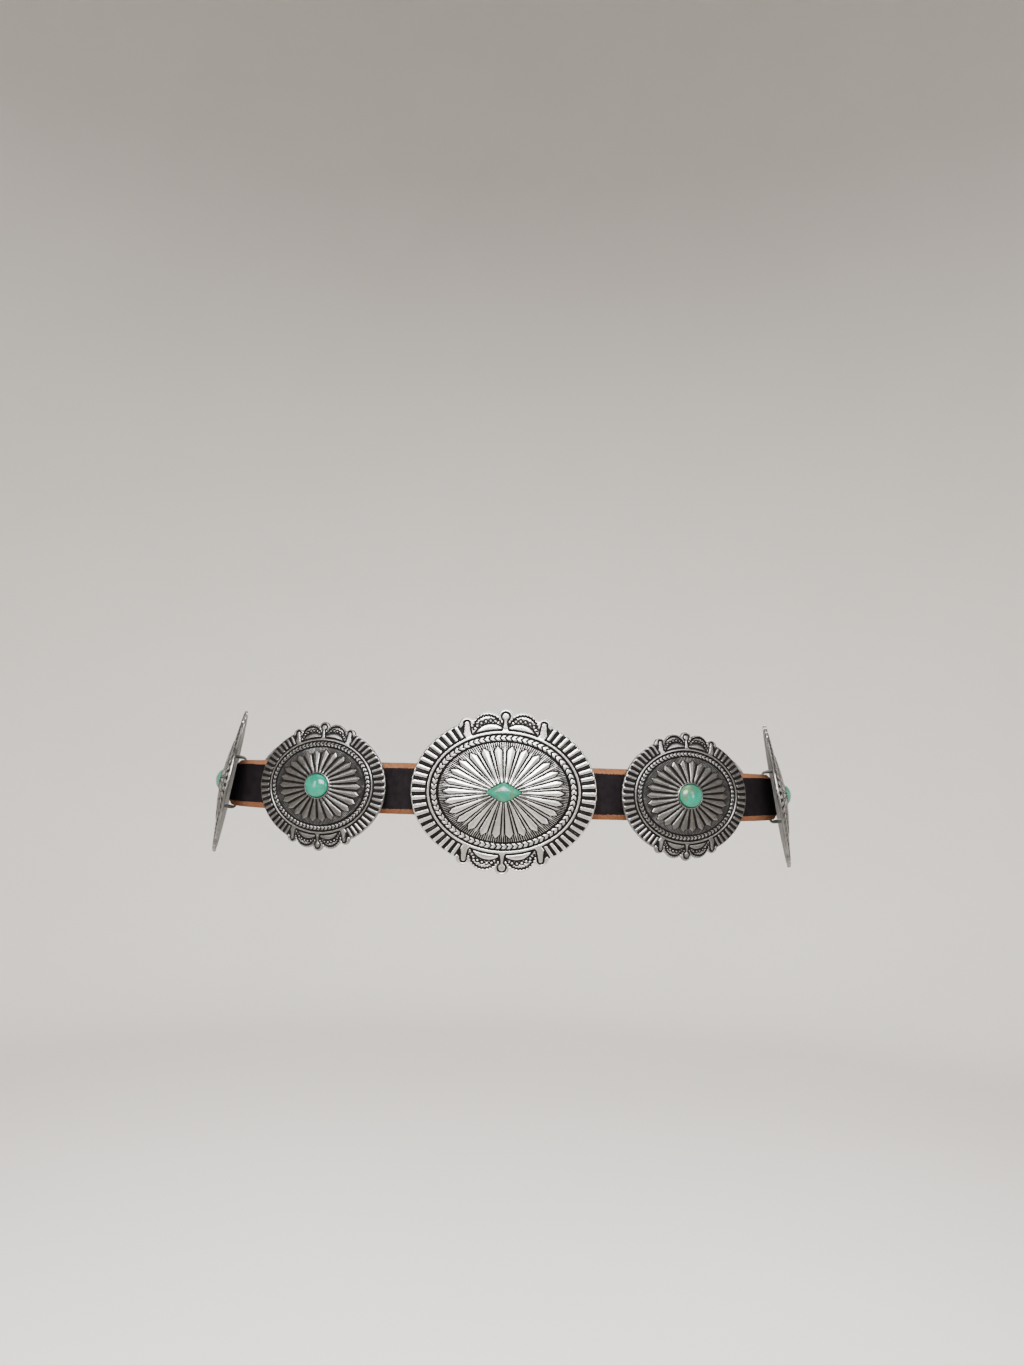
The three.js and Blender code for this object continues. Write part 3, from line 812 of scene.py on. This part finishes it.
def silver_material(castings):
    """Antiqued cast silver: polished on what stands up, black oxide in the recesses, dull on the back, and
    painted shade near the recesses, on the edge and over all castings but the front one.
    """
    n = Nodes("antiqued_silver")
    recess = n.attribute("recess")
    cast = n.attribute("cast")
    cloud = n.noise(240, 5, 0.6)
    grain = n.noise(2600, 3, 0.6)
    worn = n.math("ADD", recess, n.map(cloud, 0.3, 0.7, -0.03, 0.03))
    oxide = n.map(worn, 0.30, 0.45)
    # The cloud gives random, thinly tarnished patches. The rest is painted shade: the metal darkens as it
    # nears a blackened groove and on the casting's edge.
    tarnish_and_recess_shade = n.math("ADD", n.map(cloud, 0.3, 0.7, 0.0, 0.45), n.map(recess, 0.05, 0.35, 0.0, 0.6))
    metal = n.mix(tarnish_and_recess_shade, colour(castings.silver), colour(castings.tarnish_and_painted_shade))
    # Painted shade: every casting but the front one is darkened by its share, standing in for the dimmer
    # light on castings that turn away from the lamps.
    metal = n.mix(n.attribute("patina"), metal, colour(castings.patina))
    metal = n.mix(cast, metal, colour(castings.cast_back))
    base = n.mix(oxide, metal, colour(castings.oxide))
    rough = n.map(cloud, 0.3, 0.7, 0.2, 0.32)
    rough = n.math("ADD", rough, n.math("MULTIPLY", n.math("ADD", oxide, cast), 0.3))
    metallic = n.map(oxide, 0.0, 1.0, 1.0, 0.0)
    shine = n.map(oxide, 0.0, 1.0, 0.5, 0.06)
    fine = n.bump(grain, 0.12, 0.00005)
    pits = n.bump(cloud, n.map(cast, 0.0, 1.0, 0.05, 0.5), 0.0006, fine)
    n.shade(Base_Color=base, Roughness=rough, Metallic=metallic, Normal=pits, Specular_IOR_Level=shine)
    return n.material


def leather_material(belt):
    """Black grained leather with tan fibrous cut edges and a brown flesh side."""
    n = Nodes("strap_leather")
    cut = n.attribute("cut")
    flesh = n.attribute("flesh")
    where = n.place()
    cells = n.add("ShaderNodeTexVoronoi", {"Vector": where, "Scale": 1500.0}).outputs["Distance"]
    soft = n.noise(300, 5, 0.6, where)
    fibre = n.noise(1500, 6, 0.75, where)
    slow = n.noise(45, 4, 0.6, where)
    ragged = n.map(n.math("ADD", cut, n.map(fibre, 0.3, 0.7, -0.28, 0.28)), 0.42, 0.58)
    black = n.mix(n.map(soft, 0.35, 0.7), colour(belt.face), colour(belt.face_rubbed))
    tan = n.mix(n.map(fibre, 0.32, 0.68), colour(belt.edge_dark), colour(belt.edge))
    tan = n.mix(n.map(slow, 0.35, 0.7, 0.0, 0.5), tan, colour(belt.edge_burnt))
    rough_side = n.mix(n.map(fibre, 0.3, 0.7), colour(belt.edge_dark), colour(belt.flesh))
    base = n.mix(ragged, black, tan)
    base = n.mix(flesh, base, rough_side)
    raw = n.math("MAXIMUM", ragged, flesh)
    rough = n.math("ADD", n.map(soft, 0.3, 0.7, 0.62, 0.75), n.math("MULTIPLY", raw, 0.3))
    pores = n.bump(cells, n.map(raw, 0.0, 1.0, 0.22, 0.0), 0.00025)
    fluff = n.bump(fibre, n.map(raw, 0.0, 1.0, 0.12, 0.8), 0.0005, pores)
    n.shade(Base_Color=base, Roughness=rough, Normal=fluff, Specular_IOR_Level=0.04)
    return n.material


def turquoise_material(stones):
    """Polished green turquoise: clouds of lighter and darker green, and a brown matrix in thin veins."""
    n = Nodes("green_turquoise")
    where = n.place()
    cloud = n.noise(160, 6, 0.6, where)
    fleck = n.noise(600, 4, 0.7, where)
    patch = n.noise(95, 3, 0.5, where)
    warped = n.add("ShaderNodeVectorMath", {0: where, 1: (0.37, 0.11, 0.23)}, operation="ADD").outputs[0]
    vein_noise = n.noise(130, 7, 0.65, warped)
    band = n.add("ShaderNodeMath", {0: vein_noise, 1: 0.5}, operation="SUBTRACT").outputs[0]
    size = n.add("ShaderNodeMath", {0: band}, operation="ABSOLUTE").outputs[0]
    vein = n.map(size, 0.026, 0.004, 0.0, 0.75)
    vein = n.math("MULTIPLY", vein, n.map(patch, 0.40, 0.52))
    green = n.mix(n.map(cloud, 0.32, 0.68), colour(stones.deep), colour(stones.light))
    green = n.mix(n.map(fleck, 0.62, 0.78, 0.0, 0.5), green, colour(stones.matrix_olive))
    olive = n.map(patch, 0.55, 0.7, 0.0, 0.8)
    green = n.mix(olive, green, colour(stones.matrix_olive))
    base = n.mix(vein, green, colour(stones.matrix_brown))
    rough = n.map(vein, 0.0, 1.0, 0.13, 0.45)
    sunk = n.bump(vein, 0.25, -0.00008)
    n.shade(Base_Color=base, Roughness=rough, Normal=sunk, Specular_IOR_Level=0.35, Coat_Weight=0.15)
    return n.material


def stage_material(stage):
    """A pale matt studio floor with a faint mottle."""
    n = Nodes("stage_paper")
    mottle = n.map(n.noise(3, 3), 0.3, 0.7, 0.0, 0.06)
    n.shade(Base_Color=n.mix(mottle, colour(stage.floor), (0.55, 0.53, 0.5, 1.0)), Roughness=0.9)
    return n.material


# What a user can set

def size_setting(name, description, default):
    return FloatProperty(name=name, description=description, default=default, unit="LENGTH", precision=5)


def angle_setting(name, description, default):
    return FloatProperty(name=name, description=description, default=default, unit="ROTATION")


def colour_setting(name, description, default):
    return FloatVectorProperty(
        name=name, description=description, default=default, size=3, subtype="COLOR", min=0.0, max=1.0,
    )


class StrapSettings(PropertyGroup):
    """Sizes and colours of the strap and of the waist loop that it follows."""

    waist_half_width: size_setting("Waist half width", "Half the loop from side to side", 0.152)
    waist_half_depth: size_setting("Waist half depth", "Half the loop from front to back", 0.098)
    waist_squareness: FloatProperty(
        name="Squareness", description="2 is an ellipse, more is fuller", default=2.2,
    )
    front_cant: angle_setting("Front cant", "How far the front faces upwards", radians(-3))
    side_cant: angle_setting("Side cant", "How far the sides face upwards", radians(10.5))
    width: size_setting("Width", "Width of the strap", 0.025)
    thickness: size_setting("Thickness", "Thickness of the leather", 0.003)
    bevel_width: size_setting("Bevel width", "Width of the raw bevel along each edge", 0.0025)
    bevel_depth: size_setting("Bevel depth", "Depth of the raw bevel", 0.0019)
    lap_length: size_setting("Lap", "How far the ends lie over each other", 0.064)
    lap_ramp: size_setting("Ramp", "Where the outer end climbs over the inner one", 0.036)
    lap_gap: size_setting("Lap gap", "Gap between the ends", 0.0003)
    tip_length: size_setting("Tip", "Length of each rounded end", 0.011)
    sections: IntProperty(name="Sections", description="Sections along the strap", default=360)
    face: colour_setting("Face", "Black dyed grain", (0.0044, 0.0033, 0.004))
    face_rubbed: colour_setting("Rubbed face", "Where the dye is rubbed", (0.008, 0.006, 0.007))
    edge: colour_setting("Cut edge", "Raw tan edge", (0.20, 0.089, 0.046))
    edge_dark: colour_setting("Dark fibres", "Fibres in the cut edge", (0.08, 0.032, 0.015))
    edge_burnt: colour_setting("Burnished edge", "Rubbed stretches of the cut edge", (0.11, 0.045, 0.022))
    flesh: colour_setting("Flesh side", "Inner side of the strap", (0.33, 0.19, 0.115))


class CastingSettings(PropertyGroup):
    """Spacing, strap loops and colours of the castings."""

    spacing: size_setting("Spacing", "Along the strap, from rim to rim", 0.010)
    loop_gap: size_setting("Loop gap", "Gap between a loop and the strap", 0.0005)
    loop_width: size_setting("Loop width", "Width of a loop along the strap", 0.010)
    loop_post: size_setting("Loop post", "Thickness of a loop's posts", 0.002)
    loop_bar: size_setting("Loop bar", "Thickness of a loop's bar", 0.0014)
    silver: colour_setting("Silver", "Polished silver", (0.64, 0.625, 0.605))
    # Darker silver colour for randomly tarnished patches, and for the painted shade near the recesses and on
    # the casting's edge.
    tarnish_and_painted_shade: colour_setting("Tarnish", "Thin tarnish on the silver", (0.27, 0.262, 0.25))
    # Painted shade: the dark colour that every casting but the front one is mixed towards, with its share
    # below.
    patina: colour_setting("Patina", "Dark patina on all castings but the front one", (0.07, 0.068, 0.066))
    patina_share: FloatProperty(
        name="Patina share", description="How much of the patina they have", default=0.8, subtype="FACTOR",
    )
    cast_back: colour_setting("Cast back", "Unpolished back of a casting", (0.11, 0.107, 0.102))
    oxide: colour_setting("Oxide", "Blackening in the recesses", (0.0035, 0.003, 0.003))


class StoneSettings(PropertyGroup):
    """Seat and colours of the stones."""

    seat_depth: size_setting("Seat depth", "How deep a stone sits in its casting", 0.001)
    seat_gap: size_setting("Seat gap", "Gap between a stone and its casting", 0.0003)
    light: colour_setting("Light green", "Lighter clouds", (0.005, 0.18, 0.113))
    deep: colour_setting("Deep green", "Darker clouds", (0.0015, 0.10, 0.064))
    matrix_olive: colour_setting("Olive matrix", "Olive patches", (0.07, 0.13, 0.045))
    matrix_brown: colour_setting("Brown matrix", "Brown veins", (0.042, 0.034, 0.012))


class StudSettings(PropertyGroup):
    """Sizes of the stud that holds the strap's lapped ends."""

    shank_radius: size_setting("Shank radius", "Radius through the leather", 0.002)
    flange_radius: size_setting("Flange radius", "Radius of the inner flange", 0.005)
    flange_thickness: size_setting("Flange thickness", "Thickness of the inner flange", 0.0012)
    head_radius: size_setting("Head radius", "Radius of the outer head", 0.0042)
    head_thickness: size_setting("Head thickness", "Height of the domed head", 0.0022)
    gap: size_setting("Gap", "Gap to the leather", 0.0003)


class StageSettings(PropertyGroup):
    """The floor and the camera."""

    floor_drop: size_setting("Floor drop", "How far the floor lies under the belt", 0.55)
    floor_radius: size_setting("Floor radius", "Radius of the flat floor", 1.7)
    dish_radius: size_setting("Dish radius", "Radius of the wall's upper edge", 3.4)
    dish_rise: size_setting("Dish rise", "How far the wall rises over the floor", 4.8)
    floor: colour_setting("Floor", "Colour of the floor", (0.87, 0.83, 0.78))
    camera_back: size_setting("Camera distance", "From the belt's front to the camera", 0.4997)
    camera_height: size_setting("Camera height", "Over the middle of the belt", 0.008)
    camera_pitch: angle_setting("Pitch", "Upwards", 0.090)
    camera_yaw: angle_setting("Yaw", "To the left", -0.005)
    camera_roll: angle_setting("Roll", "Clockwise", -0.028)
    focal_pixels: FloatProperty(
        name="Focal length", description="In pixels of an image 1365 high", default=1026,
    )


# The operators

def concho_step(castings):
    """From one concho's middle to the next: half of each width and the strap between their rims."""
    return (CASTINGS["large"]["width"] + CASTINGS["small"]["width"]) / 2 * MM + castings.spacing


def rim_back_height(belt, castings):
    """Where the backs of the castings' rims lie over the strap's middle, in millimetres."""
    return (belt.thickness / 2 + castings.loop_gap) / MM


def shared(name, make, settings):
    """The material of that name, made once."""
    return bpy.data.materials.get(name) or make(settings)


class CONCHO_BELT_OT_strap(Operator):
    """Add the leather strap, lapped at the back"""

    bl_idname = "concho_belt.strap"
    bl_label = "Add strap"

    def execute(self, context):
        belt = context.scene.belt_strap
        distance, share = strap_rows(belt)
        section, cut, flesh = strap_sections(belt, distance, share)
        station = stations(belt, distance, lap_offset(belt, distance))
        swell = 0.05 * MM * wander(distance, 3.0, 0.011)[:, None] * (section[..., 1] > 0)
        local = np.dstack((np.zeros(section.shape[:2]), section[..., 0], section[..., 1] + swell))
        grid = placed(local, [part[:, None] for part in station])
        skin = Skin(("cut", "flesh"))
        skin.add(grid, grid[0].mean(axis=0), grid[-1].mean(axis=0), cut=cut[None], flesh=flesh[None])
        piece = skin.build("leather_strap", shared("strap_leather", leather_material, belt))
        keep(piece, "strap")
        return {"FINISHED"}


class CONCHO_BELT_OT_castings(Operator):
    """Add the domed castings with their strap loops"""

    bl_idname = "concho_belt.castings"
    bl_label = "Add conchos"

    def execute(self, context):
        belt, castings = context.scene.belt_strap, context.scene.belt_castings
        material = shared("antiqued_silver", silver_material, castings)
        rim_back = rim_back_height(belt, castings)
        parts = {}
        for size_name, size in CASTINGS.items():
            shell = casting_grid(size, STONES[size_name], context.scene.belt_stones, rim_back)
            parts[size_name] = (shell, strap_loop_grid(belt, castings, size, rim_back))
        for concho in CONCHOS:
            (grid, floor, ceiling, recess, cast), (loop, start, end) = parts[concho["size"]]
            station = stations(belt, np.array(concho["step"] * concho_step(castings)))
            skin = Skin(("recess", "cast", "patina"))
            # Painted shade on every casting but the front one.
            patina = 0.0 if concho["step"] == 0 else castings.patina_share
            skin.add(
                placed(grid * MM, station), placed(floor * MM, station), placed(ceiling * MM, station),
                recess=recess, cast=cast, patina=patina,
            )
            skin.add(
                placed(loop * MM, station), placed(start * MM, station), placed(end * MM, station),
                recess=BACK_RECESS, cast=1.0, patina=patina,
            )
            piece = skin.build(f"casting_{concho['name']}", material)
            keep(piece, f"concho_{concho['name']}")
        return {"FINISHED"}


class CONCHO_BELT_OT_stones(Operator):
    """Add the turquoise cabochons"""

    bl_idname = "concho_belt.stones"
    bl_label = "Add stones"

    def execute(self, context):
        scene = context.scene
        belt, castings, stones = scene.belt_strap, scene.belt_castings, scene.belt_stones
        material = shared("green_turquoise", turquoise_material, stones)
        rim_back = rim_back_height(belt, castings)
        for concho in CONCHOS:
            size, stone = CASTINGS[concho["size"]], STONES[concho["size"]]
            crown = rim_back + size["edge"] + size["rise"]
            seat_height = crown - (stones.seat_depth - stones.seat_gap) / MM
            grid, start, end = stone_grid(stone, seat_height)
            station = stations(belt, np.array(concho["step"] * concho_step(castings)))
            skin = Skin(())
            skin.add(placed(grid * MM, station), placed(start * MM, station), placed(end * MM, station))
            piece = skin.build(f"cabochon_{concho['name']}", material)
            keep(piece, f"stone_{concho['name']}")
        return {"FINISHED"}


class CONCHO_BELT_OT_stud(Operator):
    """Add the stud that closes the lap at the back"""

    bl_idname = "concho_belt.stud"
    bl_label = "Add stud"

    def execute(self, context):
        belt, stud, castings = context.scene.belt_strap, context.scene.belt_stud, context.scene.belt_castings
        flange_top = -belt.thickness / 2 - stud.gap
        head_foot = belt.thickness / 2 + belt.lap_gap + belt.thickness + stud.gap
        soft = 0.0003
        dome = np.linspace(0.0, pi / 2, 12)[1:-1]
        profile = [
            (stud.flange_radius - soft, flange_top - stud.flange_thickness),
            (stud.flange_radius, flange_top - stud.flange_thickness + soft),
            (stud.flange_radius, flange_top - soft),
            (stud.flange_radius - soft, flange_top),
            (stud.shank_radius, flange_top),
            (stud.shank_radius, head_foot),
            (stud.head_radius - soft, head_foot),
            (stud.head_radius, head_foot + soft / 2),
        ]
        profile += [
            (stud.head_radius * np.cos(a), head_foot + stud.head_thickness * np.sin(a)) for a in dome
        ]
        radius, height = np.array(profile).T
        grid = turned_profile(radius, height, 64)
        station = stations(belt, np.array(waist_length(belt) / 2))
        start = np.array((0, 0, height[0]))
        end = np.array((0, 0, head_foot + stud.head_thickness))
        skin = Skin(("recess", "cast"))
        skin.add(placed(grid, station), placed(start, station), placed(end, station))
        piece = skin.build("back_stud", shared("antiqued_silver", silver_material, castings))
        keep(piece, "closing_stud")
        return {"FINISHED"}


# The soft lights: name, place, what they aim at, width and height in metres, watts and spread in degrees.
LIGHTS = (
    ("key_softbox", (-0.1, -1.5, 0.85), (0, 0, 0), 1.4, 0.9, 26, 80),
    ("top_softbox", (0, 0.2, 2.2), (0, 0.2, 0), 2.0, 2.0, 34, 180),
    ("left_strip", (-1.26, -1.14, 0.25), (0, 0, 0), 0.25, 0.9, 2.5, 90),
    ("right_strip", (1.26, -1.14, 0.25), (0, 0, 0), 0.25, 0.9, 2.5, 90),
    ("back_softbox", (0.2, 1.7, 0.7), (0, 0, 0), 1.3, 0.9, 9, 80),
)
AIR = (0.97, 0.965, 0.97, 1.0)
AIR_STRENGTH = 0.35
IMAGE_HEIGHT = 1365


def add_light(name, place, aim, width, height, watts, spread):
    """A rectangular area light that looks at its aim."""
    light = bpy.data.lights.new(name, "AREA")
    light.shape = "RECTANGLE"
    light.size, light.size_y = width, height
    light.energy = watts
    light.spread = radians(spread)
    holder = bpy.data.objects.new(name, light)
    holder.location = place
    holder.rotation_euler = (Vector(aim) - Vector(place)).to_track_quat("-Z", "Y").to_euler()
    bpy.context.scene.collection.objects.link(holder)


def dish_grid(stage):
    """A round floor that turns up into a wall all round: past the flat part it rises by rise * s^2.2, s
    being the share of the way to the wall's edge."""
    flat = np.linspace(0.05, stage.floor_radius, 12)
    wall = np.linspace(stage.floor_radius, stage.dish_radius, 26)[1:]
    radius = np.concatenate((flat, wall))
    share = clamp((radius - stage.floor_radius) / (stage.dish_radius - stage.floor_radius))
    return turned_profile(radius, stage.dish_rise * share ** 2.2 - stage.floor_drop, 96)


class CONCHO_BELT_OT_stage(Operator):
    """Add the pale floor, the soft lights and the camera"""

    bl_idname = "concho_belt.stage"
    bl_label = "Add stage"

    def execute(self, context):
        scene, stage, belt = context.scene, context.scene.belt_stage, context.scene.belt_strap
        grid = dish_grid(stage)
        rows, columns = grid.shape[:2]
        points = np.concatenate((grid.reshape(-1, 3), [(0, 0, -stage.floor_drop)]))
        middle_fan = fan_faces(rows * columns, 0, columns, True)
        faces = grid_faces(rows, columns).tolist() + middle_fan.tolist()
        mesh = bpy.data.meshes.new("studio_floor")
        mesh.from_pydata(points.tolist(), [], faces)
        mesh.polygons.foreach_set("use_smooth", [True] * len(mesh.polygons))
        mesh.materials.append(shared("stage_paper", stage_material, stage))
        floor = bpy.data.objects.new("studio_floor", mesh)
        scene.collection.objects.link(floor)

        world = bpy.data.worlds.new("studio_air")
        world.use_nodes = True
        background = world.node_tree.nodes["Background"]
        background.inputs["Color"].default_value = AIR
        background.inputs["Strength"].default_value = AIR_STRENGTH
        scene.world = world
        for light in LIGHTS:
            add_light(*light)

        camera = bpy.data.cameras.new("photo_camera")
        camera.sensor_width = 36.0
        camera.lens = stage.focal_pixels / IMAGE_HEIGHT * camera.sensor_width
        camera.clip_start = 0.01
        holder = bpy.data.objects.new("photo_camera", camera)
        turned = (
            Matrix.Rotation(stage.camera_yaw, 3, "Z")
            @ Matrix.Rotation(stage.camera_pitch, 3, "X")
            @ Matrix.Rotation(stage.camera_roll, 3, "Y")
        )
        right, forward, up = turned.col
        basis = Matrix((right, up, -forward)).transposed()
        place = Vector((0, -belt.waist_half_depth - stage.camera_back, stage.camera_height))
        holder.matrix_world = Matrix.Translation(place) @ basis.to_4x4()
        scene.collection.objects.link(holder)
        scene.camera = holder
        return {"FINISHED"}


class VIEW3D_PT_concho_belt(Panel):
    """Lists the belt's pieces and their settings"""

    bl_label = "Concho Belt"
    bl_idname = "VIEW3D_PT_concho_belt"
    bl_space_type = "VIEW_3D"
    bl_region_type = "UI"
    bl_category = "Concho Belt"

    def draw(self, context):
        layout = self.layout
        for operator in OPERATORS:
            layout.operator(operator.bl_idname)
        for holder in SETTINGS:
            box = layout.box()
            settings = getattr(context.scene, holder)
            for name in settings.bl_rna.properties.keys():
                if name not in {"rna_type", "name"}:
                    box.prop(settings, name)


OPERATORS = (
    CONCHO_BELT_OT_stage,
    CONCHO_BELT_OT_strap,
    CONCHO_BELT_OT_castings,
    CONCHO_BELT_OT_stones,
    CONCHO_BELT_OT_stud,
)
SETTINGS = {
    "belt_strap": StrapSettings,
    "belt_castings": CastingSettings,
    "belt_stones": StoneSettings,
    "belt_stud": StudSettings,
    "belt_stage": StageSettings,
}


def register():
    for cls in (*SETTINGS.values(), *OPERATORS, VIEW3D_PT_concho_belt):
        bpy.utils.register_class(cls)
    for holder, cls in SETTINGS.items():
        setattr(bpy.types.Scene, holder, PointerProperty(type=cls))


def unregister():
    for holder in SETTINGS:
        delattr(bpy.types.Scene, holder)
    for cls in (VIEW3D_PT_concho_belt, *OPERATORS, *reversed(SETTINGS.values())):
        bpy.utils.unregister_class(cls)


def main():
    register()
    bpy.ops.concho_belt.stage()
    bpy.ops.concho_belt.strap()
    bpy.ops.concho_belt.castings()
    bpy.ops.concho_belt.stones()
    bpy.ops.concho_belt.stud()


if __name__ == "__main__":
    main()
